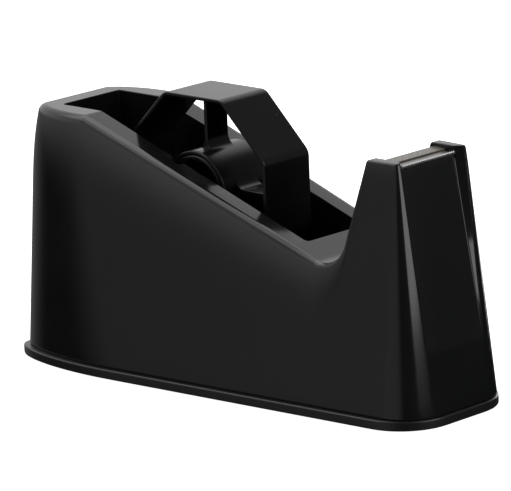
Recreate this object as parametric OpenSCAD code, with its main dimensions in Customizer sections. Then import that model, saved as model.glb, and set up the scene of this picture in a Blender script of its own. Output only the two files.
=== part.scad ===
// Weighted desk tape dispenser: a hollow moulded body with a deep well for the roll, a cutter tower at the
// front, and a lift-out hub that takes rolls on 25 mm and 76 mm cores.
// Frame: +X towards the cutter, +Y across, +Z up, origin on the table under the middle of the footprint.

/* [Base] */
// Overall length of the foot flange
base_len = 198; // [194:1:206]
// Width of the foot flange near the rear
base_rear_w = 76; // [74:1:84]
// Width of the foot flange just behind its front corners
base_front_w = 60.4; // [59:0.2:66]
// How far the flange stands out beyond the body's sides
flange_lip = 2.5; // [1.5:0.5:4]
// How far the flange stands out beyond the body's ends
end_lip = 1.5; // [1:0.1:2.5]
// How far the pad stands proud below the flange
pad_proud = 0.5; // [0.3:0.1:1]

/* [Body] */
// Height of the flat top behind the roll
top_z = 95.7; // [94:0.1:98]
// Wall thickness of the shell
wall = 2.6; // [2:0.1:3]
// Angle of the long top slope
slope_deg = 19.3; // [18:0.1:20.5]
// Radius of the saddle between the slope and the tower
saddle_r = 11; // [8:0.5:13]

/* [Roll well] */
// Inside width of the well
well_w = 30.4; // [29.6:0.2:31.6]
// Height of the well floor
well_floor_z = 16; // [15:0.5:18]

/* [Tower] */
// Height of the cheek tops
cheek_z = 95.3; // [95:0.1:97]
// Distance between the cheeks
cheek_gap = 29.8; // [29.2:0.2:30.4]

/* [Hub] */
// Height of the roll axis
hub_z = 71; // [70:0.5:73]
// Size of the adapter across its flats
adapter_flats = 70; // [68:0.5:71]
// Width of the adapter band and sleeve
hub_w = 24; // [22:0.5:25]
// Diameter of the small hub, for 25.4 mm cores
small_core_d = 25.2; // [24.8:0.1:25.3]
// Diameter of the axle
axle_d = 4.4; // [4:0.2:4.8]

/* [Blade] */
// Width of the cutting blade
blade_w = 29.2; // [28:0.2:29.4]
// Distance between the blade's teeth
tooth_pitch = 1.12; // [1:0.02:1.4]

/* [Hidden] */

$fn = 64;
eps = 0.01;
far = 200;                 // longer than the object in any direction
run_clear = 0.06;          // radial clearance of the hub on its axle
slip_clear = 0.05;         // radial clearance of parts pushed together by hand

// Foot
rear_x = -base_len / 2;
front_x = base_len / 2;
flange_t = 3.6;
plate_bottom = pad_proud;
plate_top = plate_bottom + flange_t;
pad_inset = 3;
pad_t = 1.5;
rim_h = 4;                 // locating rim that stands up inside the body
rim_t = 1.6;
rim_gap = 0.2;
foot_rear_corner = [46, 13.5];
foot_front_corner = 19.5;

// Body outlines at the foot and at the top, from which the drafted walls are drawn. The side walls are flat:
// side_taper is how fast they close in towards the front, side_draft how much over the body's height.
side_draft = 8.67;
rear_draft = 1.8;
front_draft = 10.7;
body_rear_corner = [45, 12.5];
body_front_corner = 14;
head_rear_corner = [27, 12.5];
head_front_corner = 1.5;

// Side profile
slope_top_x = -62.6;       // where the flat top ends and the slope starts
tower_foot_x = 60.8;       // where the slope and the tower's back would meet, without the saddle
tower_lean = 74.6;         // angle of the tower's back above the horizontal
slope_drop = tan(slope_deg);
tower_foot_z = top_z - slope_drop * (tower_foot_x - slope_top_x);
recess_foot_x = 94.8;        // the front panel sinks between the cheeks above this point
recess_foot_z = 27;
recess_top_x = 83.8;
recess_top_z = 92.5;
seat_z = 90.8;             // shelf between the cheeks that carries the tape rest
seat_t = 2.5;

// Well
well_rear_x = -83.3;
well_front_x = 38.9;
well_wall = 2.2;

// Hub, axle and the slots it drops into
hub_x = -18.7;
slot_lean = 25;            // the slots lean back from the vertical
slot_r = axle_d / 2 + 0.1;
slot_depth = 3;
slot_end_y = well_w / 2 + slot_depth;
axle_len = 2 * slot_end_y - 0.6;
boss_r = 4.4;
boss_end_gap = 0.5;
hub_wall = 1.7;
web_t = 1.6;
web_w = 11;
web_flare = 4.5;
band_t = 1.4;
band_bend = 5;
sleeve_t = 1.75;

// Screws that hold the foot to four pillars inside the body
screw_sites = [[-89.4, -12], [-89.4, 12], [83, -17], [83, 17]];
screw_r = 1.5;
screw_len = 13;
head_r = 3;
head_t = 1.4;
head_room_r = 3.5;
head_room_t = 1.5;
pillar_r = 3.4;
pillar_room_r = 4.4;
pillar_top = 20;
rib_t = 2;

// Ballast
ballast_gap = 0.6;
pillar_gap = 0.6;
rail_top = 40;
nose_rear_x = 46;
nose_top = 46;

// Blade and tape rest
blade_t = 0.6;
blade_depth = 7;
blade_tilt = 8;            // the blade leans forward
blade_front = [84.4, 91.9];
blade_rise = 1.9;
tooth_h = 0.75;
rest_crown_z = 94;
rest_front = [79.6, 93.75];
rest_gap = 0.1;
peg_r = 1.5;
peg_len = 2.4;
peg_y = 9;
peg_x = 75.4;

black_gloss = [0.05, 0.05, 0.055];
black_matte = [0.09, 0.09, 0.095];
black_satin = [0.07, 0.07, 0.075];
steel = [0.72, 0.72, 0.70];
concrete = [0.55, 0.54, 0.5];
pad_grey = [0.16, 0.16, 0.17];

// Points along part of an ellipse, from one angle to another
function arc(c, rx, ry, from, to, n) =
  [for (i = [0:n]) let(a = from + (to - from) * i / n) [c.x + rx * cos(a), c.y + ry * sin(a)]];

// Half outline on the +Y side, from the rear to the front: an elliptical rear corner and a round front one
function half_outline(x0, x1, rear_y, front_y, rear_c, front_r) =
  concat(
    arc([x0 + rear_c.x, rear_y - rear_c.y], rear_c.x, rear_c.y, 180, 90, 10),
    arc([x1 - front_r, front_y - front_r], front_r, front_r, 86, 0, 8));

function mirrored(half) = concat(half, [for (i = [len(half) - 1:-1:0]) [half[i].x, -half[i].y]]);

function outline(x0, x1, rear_y, front_y, rear_c, front_r) =
  mirrored(half_outline(x0, x1, rear_y, front_y, rear_c, front_r));

// Foot outline drawn in by t all round
function foot_outline(t) =
  outline(rear_x + t, front_x - t, base_rear_w / 2 - t, base_front_w / 2 - t,
          [foot_rear_corner.x - t, foot_rear_corner.y - t / 2], foot_front_corner - t);

// Body outline at the foot and level with the top, drawn in by t
side_rear_x = rear_x + end_lip + body_rear_corner.x;
side_front_x = front_x - end_lip - body_front_corner;
side_taper = (base_rear_w - base_front_w) / 2 / (side_front_x - side_rear_x);
function body_foot(t) =
  let(in = flange_lip + t)
  outline(rear_x + end_lip + t, front_x - end_lip - t, base_rear_w / 2 - in, base_front_w / 2 - in,
          [body_rear_corner.x - t, body_rear_corner.y - t / 2], body_front_corner - t);
function head_half(x, t) = base_rear_w / 2 - flange_lip - t - side_draft - side_taper * (x - side_rear_x);
function body_head(t) =
  let(x0 = rear_x + end_lip + t + rear_draft,
      x1 = front_x - end_lip - t - front_draft,
      front_r = max(head_front_corner - t, 0.5))
  outline(x0, x1, head_half(x0 + head_rear_corner.x - t, t), head_half(x1 - front_r, t),
          [head_rear_corner.x - t, head_rear_corner.y - t / 2], front_r);

// Point where the line through p at angle a meets the line through q at angle b
function meet(p, a, q, b) =
  let(d = ((q.x - p.x) * sin(b) - (q.y - p.y) * cos(b)) / sin(b - a))
  [p.x + d * cos(a), p.y + d * sin(a)];

// Top of the body in the XZ plane from the rear to the tower's back, drawn in by t
function top_line(t) =
  let(slope_p = [tower_foot_x - t * sin(slope_deg), tower_foot_z - t * cos(slope_deg)],
      tower_p = [tower_foot_x + t * sin(tower_lean), tower_foot_z - t * cos(tower_lean)],
      corner = meet(slope_p, -slope_deg, tower_p, tower_lean),
      turn = slope_deg + tower_lean,
      r = saddle_r + t,
      reach = r * tan(turn / 2),
      start = [corner.x - reach * cos(slope_deg), corner.y + reach * sin(slope_deg)],
      c = [start.x + r * sin(slope_deg), start.y + r * cos(slope_deg)])
  concat([[-far, top_z - t], meet([0, top_z - t], 0, slope_p, -slope_deg)],
         arc(c, r, r, -90 - slope_deg, tower_lean - 90, 12));

function tower_back_x(z, t) =
  tower_foot_x + t * sin(tower_lean) + (z - tower_foot_z + t * cos(tower_lean)) / tan(tower_lean);

// Extrude an outline drawn in the XZ plane across Y, from -half to half
module across(points, half) {
  translate([0, half, 0])
    rotate([90, 0, 0])
      linear_extrude(2 * half) polygon(points);
}

// Drafted block between the foot outline and the head outline, drawn in by t
module drafted(t, low) {
  hull() {
    translate([0, 0, low]) linear_extrude(eps) polygon(body_foot(t));
    translate([0, 0, top_z]) linear_extrude(eps) polygon(body_head(t));
  }
}

module outer_form() {
  intersection() {
    drafted(0, plate_top);
    across(concat(top_line(0),
                  [[tower_back_x(cheek_z, 0), cheek_z], [far, cheek_z], [far, 0], [-far, 0]]), far);
  }
}

// Hollow of the body, kept behind the sunk front panel and under the shelf
module inner_form(t, low) {
  cap = seat_z - seat_t - (t - wall);
  intersection() {
    drafted(t, low);
    across(concat(top_line(t),
                  [[tower_back_x(cap, t), cap], [recess_top_x - t, cap], [recess_foot_x - t, recess_foot_z],
                   [far, recess_foot_z - far / 2], [far, -far], [-far, -far]]), far);
  }
}

module box(x0, x1, half_y, z0, z1) {
  translate([x0, -half_y, z0]) cube([x1 - x0, 2 * half_y, z1 - z0]);
}

module at_screws() {
  for (p = screw_sites)
    translate([p.x, p.y, 0]) children();
}

// Pillars for the screws, each tied to the nearest wall by a rib above the foot's rim
module pillars() {
  rib_z = plate_top + rim_h + 1;
  at_screws() cylinder(r = pillar_r, h = pillar_top);
  for (p = screw_sites)
    translate([p.x, p.y, rib_z])
      rotate([0, 0, p.x < 0 ? 180 : p.y > 0 ? 90 : -90])
        translate([0, -rib_t / 2, 0]) cube([9, rib_t, pillar_top - rib_z]);
}

// Slot for the axle: a round seat with parallel sides that lean back and run out of the sloping edge
module axle_slot() {
  translate([hub_x, 0, hub_z])
    rotate([0, -slot_lean, 0]) {
      rotate([90, 0, 0]) cylinder(r = slot_r, h = 2 * slot_end_y, center = true);
      translate([-slot_r, -slot_end_y, 0]) cube([2 * slot_r, 2 * slot_end_y, 30]);
    }
}

module body_shell() {
  color(black_gloss)
  difference() {
    union() {
      difference() {
        outer_form();
        inner_form(wall, plate_top - 1);
      }
      intersection() {
        outer_form();
        union() {
          box(well_rear_x - well_wall, well_front_x + well_wall, well_w / 2 + well_wall,
              well_floor_z - well_wall, far);
          box(hub_x - 16, hub_x + 8, slot_end_y + well_wall, hub_z - 8, far);
          pillars();
        }
      }
    }
    box(well_rear_x, well_front_x, well_w / 2, well_floor_z, far);
    axle_slot();
    // sunk front panel between the cheeks
    across([[recess_foot_x, recess_foot_z], [recess_top_x, recess_top_z], [recess_top_x, far],
            [far, far], [far, recess_foot_z]], cheek_gap / 2);
    // seat for the blade and the tape rest
    across([[0, seat_z], [blade_front.x - blade_depth, seat_z],
            [blade_front.x - blade_depth, blade_front.y + blade_depth * sin(blade_tilt)],
            [far, blade_front.y - (far - blade_front.x) * tan(blade_tilt)],
            [far, far], [0, far]], cheek_gap / 2);
    for (side = [-1, 1])
      translate([peg_x, side * peg_y, seat_z - seat_t - 1])
        cylinder(r = peg_r + slip_clear, h = seat_t + 2);
    at_screws() cylinder(r = screw_r + slip_clear, h = pillar_top - 2);
  }
}

module base_plate() {
  color(black_matte)
  difference() {
    union() {
      translate([0, 0, plate_bottom]) linear_extrude(flange_t) polygon(foot_outline(0));
      // locating rim
      translate([0, 0, plate_top - eps]) linear_extrude(rim_h + eps) difference() {
        polygon(body_foot(wall + rim_gap + 0.4));
        polygon(body_foot(wall + rim_gap + 0.4 + rim_t));
      }
    }
    translate([0, 0, -eps]) linear_extrude(pad_t + eps) polygon(foot_outline(pad_inset));
    at_screws() {
      cylinder(r = head_room_r, h = pad_t + head_room_t);
      cylinder(r = screw_r + 0.2, h = plate_top + 1);
      translate([0, 0, plate_top]) cylinder(r = pillar_room_r, h = rim_h + 1);
    }
  }
}

module non_slip_pad() {
  color(pad_grey)
  difference() {
    linear_extrude(pad_t - 0.02) polygon(foot_outline(pad_inset + 0.2));
    at_screws() translate([0, 0, -1]) cylinder(r = head_room_r + 0.5, h = pad_t + 2);
  }
}

module cross_head_screw() {
  z0 = pad_t + head_room_t - head_t - 0.02;
  difference() {
    union() {
      translate([0, 0, z0]) cylinder(r = head_r, h = head_t);
      translate([0, 0, z0 + head_t - eps]) cylinder(r = screw_r, h = screw_len);
      translate([0, 0, z0 + head_t + screw_len - 2 * eps]) cylinder(r1 = screw_r, r2 = 0.3, h = 1.5);
    }
    for (a = [0, 90])
      rotate([0, 0, a]) translate([-1.8, -0.35, z0 - 1]) cube([3.6, 0.7, 1.9]);
  }
}

module base_screws() {
  color(steel) at_screws() cross_head_screw();
}

// Cast tray round and under the well
module floor_ballast() {
  color(concrete)
  difference() {
    intersection() {
      inner_form(wall + ballast_gap, plate_top + eps);
      box(well_rear_x - well_wall - 1, nose_rear_x - 1, far, plate_top + 0.1, rail_top);
    }
    box(well_rear_x - far, well_front_x + well_wall + 0.6, well_w / 2 + well_wall + 0.6,
        well_floor_z - well_wall - 0.5, far);
    rim_clearance();
    at_screws() cylinder(r = pillar_r + pillar_gap, h = pillar_top + 1);
  }
}

// Cast block in the foot of the tower
module nose_ballast() {
  color(concrete)
  difference() {
    intersection() {
      inner_form(wall + ballast_gap, plate_top + eps);
      box(nose_rear_x, far, far, plate_top + 0.1, nose_top);
    }
    rim_clearance();
    at_screws() cylinder(r = pillar_r + pillar_gap, h = pillar_top + 1);
    // room for the ribs of the two front pillars
    box(screw_sites[2].x - rib_t / 2 - pillar_gap, screw_sites[2].x + rib_t / 2 + pillar_gap, far,
        0, pillar_top + 1);
  }
}

module rim_clearance() {
  difference() {
    translate([0, 0, plate_top - 1]) linear_extrude(rim_h + 1.5) polygon(body_foot(wall));
    translate([0, 0, plate_top - 2]) linear_extrude(rim_h + 4)
      polygon(body_foot(wall + rim_gap + rim_t + 0.8));
  }
}

// Bent strip with a toothed front lip, drawn flat at its front edge and then tipped forward
module blade_blank(grow) {
  translate([blade_front.x, 0, blade_front.y])
    rotate([0, blade_tilt, 0])
      translate([-blade_depth, -blade_w / 2 - grow, 0])
        cube([blade_depth, blade_w + 2 * grow, blade_t + grow]);
}

module cutting_blade() {
  teeth = floor(blade_w / tooth_pitch);
  start = -teeth * tooth_pitch / 2;
  tip_z = blade_rise;
  root_z = blade_rise - tooth_h;
  saw = concat(
    [[start, 0]],
    [for (i = [0:teeth - 1], k = [0, 1])
       [start + (i + k / 2) * tooth_pitch, k == 0 ? root_z : tip_z]],
    [[-start, root_z], [-start, 0]]);
  color(steel)
  union() {
    blade_blank(0);
    translate([blade_front.x, 0, blade_front.y])
      rotate([0, blade_tilt, 0])
        translate([-blade_t, 0, 0])
          rotate([90, 0, 90]) linear_extrude(blade_t) polygon(saw);
  }
}

// Crowned strip on which the free end of the tape rests; it clamps the blade's tail
module tape_rest() {
  back_x = tower_back_x(seat_z, 0) + 0.05;
  color(black_gloss)
  difference() {
    union() {
      across(concat(
        [[back_x, seat_z + 0.02]],
        arc([back_x + 3.4, rest_crown_z - 2.8], 2.9, 2.8, 170, 90, 6),
        [rest_front, [rest_front.x, seat_z + 0.02]]), cheek_gap / 2 - rest_gap);
      for (side = [-1, 1])
        translate([peg_x, side * peg_y, seat_z - peg_len]) cylinder(r = peg_r, h = peg_len + 0.5);
    }
    blade_blank(rest_gap);
    // the shelf rises under the blade
    across([[blade_front.x - blade_depth - 0.1, 0],
            [blade_front.x - blade_depth - 0.1, blade_front.y + blade_depth * sin(blade_tilt) + 0.3],
            [far, blade_front.y - (far - blade_front.x) * tan(blade_tilt) + 0.3], [far, 0]], far);
  }
}

module axle() {
  color(steel)
  translate([hub_x, 0, hub_z])
    rotate([90, 0, 0]) cylinder(d = axle_d, h = axle_len, center = true);
}

// Tube for small cores, with a middle disc and a long boss that turns on the axle
module small_core_hub() {
  r = small_core_d / 2;
  bore_r = axle_d / 2 + run_clear;
  color(black_satin)
  translate([hub_x, 0, hub_z])
    rotate([90, 0, 0])
      difference() {
        union() {
          difference() {
            cylinder(r = r, h = hub_w, center = true);
            cylinder(r = r - hub_wall, h = hub_w + 1, center = true);
          }
          cylinder(r = r - hub_wall + eps, h = 2, center = true);
          cylinder(r = boss_r, h = well_w - 2 * boss_end_gap, center = true);
        }
        cylinder(r = bore_r, h = well_w + 1, center = true);
      }
}

// Octagon with bent corners
function octagon(flats, bend) =
  let(apothem = flats / 2, centre = (apothem - bend) / cos(22.5))
  [for (k = [0:7], i = [0:4])
     let(m = 22.5 + 45 * k, a = m - 22.5 + 45 * i / 4)
     [centre * cos(m) + bend * cos(a), centre * sin(m) + bend * sin(a)]];

// Outline of one web that runs out along +X, flared where it leaves the sleeve
function web_outline(r_in, r_out) =
  let(h = web_t / 2,
      root = sqrt(pow(r_in + web_flare, 2) - pow(h + web_flare, 2)),
      foot_a = atan2(h + web_flare, root))
  concat(
    [[0, 0]],
    arc([root, h + web_flare], web_flare, web_flare, foot_a + 180, 270, 6),
    [[r_out, h], [r_out, -h]],
    arc([root, -h - web_flare], web_flare, web_flare, 90, 180 - foot_a, 6));

// Eight-sided band carried on a sleeve by four webs
module large_core_adapter() {
  r_in = small_core_d / 2 + slip_clear;
  r_out = r_in + sleeve_t;
  color(black_satin)
  translate([hub_x, 0, hub_z])
    rotate([90, 0, 0])
      difference() {
        union() {
          linear_extrude(hub_w, center = true) difference() {
            polygon(octagon(adapter_flats, band_bend));
            polygon(octagon(adapter_flats - 2 * band_t, band_bend - band_t));
          }
          cylinder(r = r_out, h = hub_w, center = true);
          for (a = [0:90:270])
            rotate([0, 0, a])
              linear_extrude(web_w, center = true)
                polygon(web_outline(r_out, adapter_flats / 2 - band_t / 2));
        }
        cylinder(r = r_in, h = hub_w + 1, center = true);
      }
}

body_shell();
base_plate();
non_slip_pad();
base_screws();
floor_ballast();
nose_ballast();
cutting_blade();
tape_rest();
axle();
small_core_hub();
large_core_adapter();
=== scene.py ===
"""Weighted desk tape dispenser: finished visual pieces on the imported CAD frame.

Shapes are worked out in millimetres in the row frame and scaled to metres when a piece is made.
"""

from math import asin, atan, atan2, cos, pi, radians, sin, sqrt, tan

import bmesh
import bpy
from mathutils import Matrix, Vector


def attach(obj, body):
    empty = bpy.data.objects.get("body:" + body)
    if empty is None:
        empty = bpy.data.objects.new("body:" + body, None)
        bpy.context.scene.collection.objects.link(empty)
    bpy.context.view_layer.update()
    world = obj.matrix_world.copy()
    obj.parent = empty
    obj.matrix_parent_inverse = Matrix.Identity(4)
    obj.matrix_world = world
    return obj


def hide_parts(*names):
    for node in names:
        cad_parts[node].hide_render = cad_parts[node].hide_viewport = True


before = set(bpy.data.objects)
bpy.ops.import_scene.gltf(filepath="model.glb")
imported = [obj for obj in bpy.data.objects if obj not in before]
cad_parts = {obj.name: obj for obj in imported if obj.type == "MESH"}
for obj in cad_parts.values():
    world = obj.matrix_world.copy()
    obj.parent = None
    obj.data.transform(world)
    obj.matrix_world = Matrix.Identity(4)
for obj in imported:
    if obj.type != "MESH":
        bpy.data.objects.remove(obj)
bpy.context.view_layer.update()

MM = 0.001

# ---------------------------------------------------------------------------------------------------- camera

SENSOR = 36.0
LENS = 352.25
CAMERA_AZIMUTH = radians(43.67)
CAMERA_ELEVATION = radians(13.89)
CAMERA_ROLL = radians(-2.25)
CAMERA_AT = Vector((1226.3, -1285.8, 489.4)) * MM


def view_back():
    """Unit vector from the object towards the camera."""
    a, e = CAMERA_AZIMUTH, CAMERA_ELEVATION
    return Vector((sin(a) * cos(e), -cos(a) * cos(e), sin(e)))


def make_camera():
    back = view_back()
    level = Vector((cos(CAMERA_AZIMUTH), sin(CAMERA_AZIMUTH), 0))
    upright = back.cross(level)
    right = cos(CAMERA_ROLL) * level + sin(CAMERA_ROLL) * upright
    up = cos(CAMERA_ROLL) * upright - sin(CAMERA_ROLL) * level
    data = bpy.data.cameras.new("camera")
    data.sensor_width = SENSOR
    data.lens = LENS
    data.clip_end = 20
    cam = bpy.data.objects.new("camera", data)
    cam.matrix_world = Matrix((right, up, back)).transposed().to_4x4()
    cam.location = CAMERA_AT
    bpy.context.scene.collection.objects.link(cam)
    bpy.context.scene.camera = cam


make_camera()

# ------------------------------------------------------------------------------------------------ dimensions

FOOT_Z = 4.1  # top of the flange, where the body starts
TOP_Z = 95.7
CHEEK_Z = 95.3
SIDE_SLOPE = 0.05735  # how fast the side walls close in towards the front
SIDE_DRAFT = 0.0946
SIDE_FOOT_HALF = 35.5
SIDE_REAR_X = -52.5

REAR_FOOT_X, REAR_LEAN = -97.5, 1.8  # rear wall at the foot, and how far it leans in by the top
FRONT_FOOT_X, FRONT_LEAN = 97.5, 10.7
REAR_CORNER_X, REAR_CORNER_LOSS = 45, 18  # rear corner's length at the foot, and what it loses by the top
REAR_CORNER_Y = 12.5
FRONT_CORNER_R, FRONT_CORNER_LOSS = 14, 12.5
FOOT_TUCK = ((0.7, 0.75), (0.35, 0.65), (0.1, 0.35))  # inset and drop of the rounded edge above the flange

SLOPE = 0.3502
SLOPE_ANGLE = atan(SLOPE)
SLOPE_TOP_X = -62.6
KINK_R = 5.0
SADDLE_R = 11.0
TOWER_FOOT = Vector((60.8, TOP_Z - SLOPE * (60.8 - SLOPE_TOP_X)))
TOWER_LEAN = radians(74.6)
CHEEK_ROUND = 1.5

WELL_REAR_X = -83.3
WELL_FRONT_X = 38.9
WELL_HALF = 15.2
WELL_FLOOR = 16.0
WELL_CORNER = 1.5
WELL_EDGE = 0.35

RECESS_FOOT = Vector((94.8, 27.0))
RECESS_TOP = Vector((83.8, 92.5))
CHEEK_INNER = 14.9
STEP_FOOT, STEP_SPREAD, STEP_HEIGHT = 0.6, 1.4, 63  # width of the sunk panel's slanted sides, and its growth
SHELF_Z = 90.8
BED_TAIL = (77.4, 92.87)  # the blade's bed, from its tail to the rounded lip under the teeth
BED_LIP = [(83.2, 92.06), (83.55, 91.97), (83.8, 91.78), (83.93, 91.5), (84.05, SHELF_Z)]
BEYOND = 130  # cutters end here, outside the body

HUB_X, HUB_Z = -18.7, 71.0
SLOT_LEAN = radians(25)
SLOT_R = 2.3
SLOT_END = 18.2
SLOT_LENGTH = 30

FOOT_LOW = 0.5  # underside of the flange, above the pad's face
FLANGE_EDGE = 0.55
PLATE_RIM = 4
PLATE_POCKET = 1.5
SCREW_SITES = [(-89.4, -12), (-89.4, 12), (83, -17), (83, 17)]

HUB_W = 24.0
CORE_R = 12.6
AXLE_R = 2.2
FLATS = 70.0
BAND_T = 1.4
BAND_BEND = 5.0
WEB_HALF_T = 0.8
WEB_HALF_W = 5.5
SLEEVE_IN = CORE_R + 0.05
SLEEVE_OUT = SLEEVE_IN + 1.75

BLADE_FRONT = Vector((84.4, 91.9))
BLADE_TILT = radians(8)
BLADE_LENGTH = 7
BLADE_HALF = 14.6
BLADE_T = 0.6
TOOTH_PITCH = 1.12
TOOTH_ROOT, TOOTH_TIP = 1.15, 1.9

REST_TOP = 94
REST_FRONT = (79.6, 93.75)
REST_HALF = 14.8
PEG_X, PEG_Y, PEG_R, PEG_FOOT = 75.4, 9, 1.5, 88.4


def lerp(a, b, t):
    return a + (b - a) * t


def fade(x, start, length):
    """0 up to start, 1 from start + length on, with a smooth rise between them."""
    t = min(max((x - start) / length, 0.0), 1.0)
    return t * t * (3 - 2 * t)


# ------------------------------------------------------------------------------------------------ mesh tools


SHARP = 32  # degrees between faces from which an edge stays sharp


def mark_sharp(bm, limit):
    """Smooth faces, apart from the edges that bend by more than limit degrees."""
    for f in bm.faces:
        f.smooth = True
    for e in bm.edges:
        e.smooth = e.is_manifold and e.calc_face_angle(0.0) < radians(limit)


def weigh_normals(obj):
    weighted = obj.modifiers.new("weighted normals", "WEIGHTED_NORMAL")
    weighted.keep_sharp = True


class Skin:
    """Faces given by their corner points, in millimetres; equal points become one vertex."""

    def __init__(self):
        self.bm = bmesh.new()

    def face(self, points):
        self.bm.faces.new([self.bm.verts.new(p) for p in points])

    def grid(self, rows):
        for a, b in zip(rows, rows[1:]):
            for i in range(len(a) - 1):
                self.face([a[i], a[i + 1], b[i + 1], b[i]])

    def closed_grid(self, rows):
        self.grid([row + [row[0]] for row in rows])

    def weld(self, distance=0.004):
        bmesh.ops.remove_doubles(self.bm, verts=self.bm.verts[:], dist=distance)
        bmesh.ops.dissolve_degenerate(self.bm, edges=self.bm.edges[:], dist=distance)

    def mirror_y(self):
        self.weld()
        geometry = self.bm.verts[:] + self.bm.edges[:] + self.bm.faces[:]
        bmesh.ops.mirror(self.bm, geom=geometry, matrix=Matrix.Identity(4), merge_dist=0.01, axis="Y")
        self.weld()

    def finish(self, name, sharp=SHARP):
        """Makes the object, with its normals outward and its sharp edges marked."""
        bm = self.bm
        self.weld()
        bmesh.ops.recalc_face_normals(bm, faces=bm.faces[:])
        if bm.calc_volume(signed=True) < 0:
            bmesh.ops.reverse_faces(bm, faces=bm.faces[:])
        mark_sharp(bm, sharp)
        mesh = bpy.data.meshes.new(name)
        bm.to_mesh(mesh)
        bm.free()
        mesh.transform(Matrix.Scale(MM, 4))
        obj = bpy.data.objects.new(name, mesh)
        bpy.context.scene.collection.objects.link(obj)
        weigh_normals(obj)
        return obj


def place(obj, material, body, slot, *nodes):
    obj.data.materials.clear()
    obj.data.materials.append(material)
    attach(obj, body)
    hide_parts(*nodes)


def arc(cx, cy, r, start, end, n):
    """Points on a circular arc; angles in degrees."""
    return [
        (cx + r * cos(radians(lerp(start, end, i / n))), cy + r * sin(radians(lerp(start, end, i / n))))
        for i in range(n + 1)
    ]


def offset_loop(loop, d):
    """A closed 2-D loop moved along its outward normals by d, with mitred corners (loop anticlockwise)."""
    out = []
    n = len(loop)
    for i, p in enumerate(loop):
        a, b = Vector(loop[i - 1]), Vector(loop[(i + 1) % n])
        p = Vector(p)
        n1 = Vector(((p - a).y, -(p - a).x)).normalized()
        n2 = Vector(((b - p).y, -(b - p).x)).normalized()
        m = (n1 + n2) / max(1 + n1.dot(n2), 0.3)
        out.append((p.x + m.x * d, p.y + m.y * d))
    return out


def prism_y(skin, loop, y0, y1, edge):
    """Closed solid: an anticlockwise loop in XZ drawn out along Y, its end edges rounded by edge."""
    rings = []
    steps = [(1.0, 0.0), (0.5, 0.134), (0.134, 0.5), (0.0, 1.0)]  # a quarter circle
    for inset, depth in steps:
        rings.append([(x, y0 + depth * edge, z) for x, z in offset_loop(loop, -inset * edge)])
    for inset, depth in reversed(steps):
        rings.append([(x, y1 - depth * edge, z) for x, z in offset_loop(loop, -inset * edge)])
    skin.closed_grid(rings)
    skin.face(rings[0])
    skin.face(rings[-1])


# -------------------------------------------------------------------------------------------- the body's form


class Outline:
    """Half plan outline (y >= 0), from the rear's middle to the front's middle, in five joined parts: rear
    straight, elliptical rear corner, side, round front corner and middle, which is the front straight.
    The rear corner is a long and b wide, the front corner has radius r, and the side closes in by slope."""

    def __init__(self, rear_x, front_x, side_half, a, b, r, slope=SIDE_SLOPE):
        self.rear_x, self.front_x = rear_x, front_x
        self.half, self.a, self.b, self.r, self.slope = side_half, a, b, r, slope
        self.ex = rear_x + a
        self.ey = self.side(self.ex) - sqrt((a * slope) ** 2 + b * b)
        self.over = atan(slope * a / b)
        lean = atan(slope)
        self.cx = front_x - r
        self.cy = self.side(self.cx) - r / cos(lean)
        self.side_x0 = self.ex + a * sin(self.over)
        self.side_x1 = self.cx + r * sin(lean)
        self.arc_end = pi / 2 - lean

    def side(self, x):
        return self.half - self.slope * (x - SIDE_REAR_X)

    def at(self, part, t):
        """Point at t, from 0 to 1, along one part."""
        if part == "rear":
            return Vector((self.rear_x, self.ey * t))
        if part == "corner":
            w = (pi / 2 + self.over) * t
            return Vector((self.ex - self.a * cos(w), self.ey + self.b * sin(w)))
        if part == "side":
            x = lerp(self.side_x0, self.side_x1, t)
            return Vector((x, self.side(x)))
        if part == "front":
            w = self.arc_end * (1 - t)
            return Vector((self.cx + self.r * cos(w), self.cy + self.r * sin(w)))
        return Vector((self.front_x, self.cy * (1 - t)))

    def front_x_at(self, y):
        """How far forward the outline reaches at y."""
        if y <= self.cy:
            return self.front_x
        return self.cx + sqrt(max(self.r ** 2 - (y - self.cy) ** 2, 0))


def body_outline(z):
    """The body's plan at height z; the walls lean in and the corners tighten towards the top."""
    f = (z - FOOT_Z) / (TOP_Z - FOOT_Z)
    return Outline(
        rear_x=REAR_FOOT_X + REAR_LEAN * f,
        front_x=FRONT_FOOT_X - FRONT_LEAN * f,
        side_half=SIDE_FOOT_HALF - SIDE_DRAFT * (z - FOOT_Z),
        a=REAR_CORNER_X - REAR_CORNER_LOSS * f,
        b=REAR_CORNER_Y,
        r=FRONT_CORNER_R - FRONT_CORNER_LOSS * f,
    )


def recess_x(z):
    """The sunk front panel's face, at height z."""
    return lerp(RECESS_FOOT.x, RECESS_TOP.x, (z - RECESS_FOOT.y) / (RECESS_TOP.y - RECESS_FOOT.y))


def recess_half(z):
    """Half width across the sunk panel's outer edges, which spread towards the top."""
    return CHEEK_INNER + STEP_FOOT + STEP_SPREAD * min(max((z - RECESS_FOOT.y) / STEP_HEIGHT, 0), 1)


def wall(part, t, z):
    """Point of the body's outer wall, without the sunk front panel."""
    p = body_outline(z).at(part, t)
    return Vector((p.x, p.y, z))


def wall_normal(part, t, z):
    dt, dz = 0.002, 0.05
    along = wall(part, min(t + dt, 1), z) - wall(part, max(t - dt, 0), z)
    up = wall(part, t, z + dz) - wall(part, t, z - dz)
    return up.cross(along).normalized()


# Saddle arc between the slope and the tower's back
_turn = SLOPE_ANGLE + TOWER_LEAN
_reach = SADDLE_R * tan(_turn / 2)
SADDLE_X0 = TOWER_FOOT.x - _reach * cos(SLOPE_ANGLE)
SADDLE_X1 = TOWER_FOOT.x + _reach * cos(TOWER_LEAN)
SADDLE_C = Vector((SADDLE_X0, TOP_Z - SLOPE * (SADDLE_X0 - SLOPE_TOP_X))) + SADDLE_R * Vector(
    (sin(SLOPE_ANGLE), cos(SLOPE_ANGLE))
)
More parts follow.
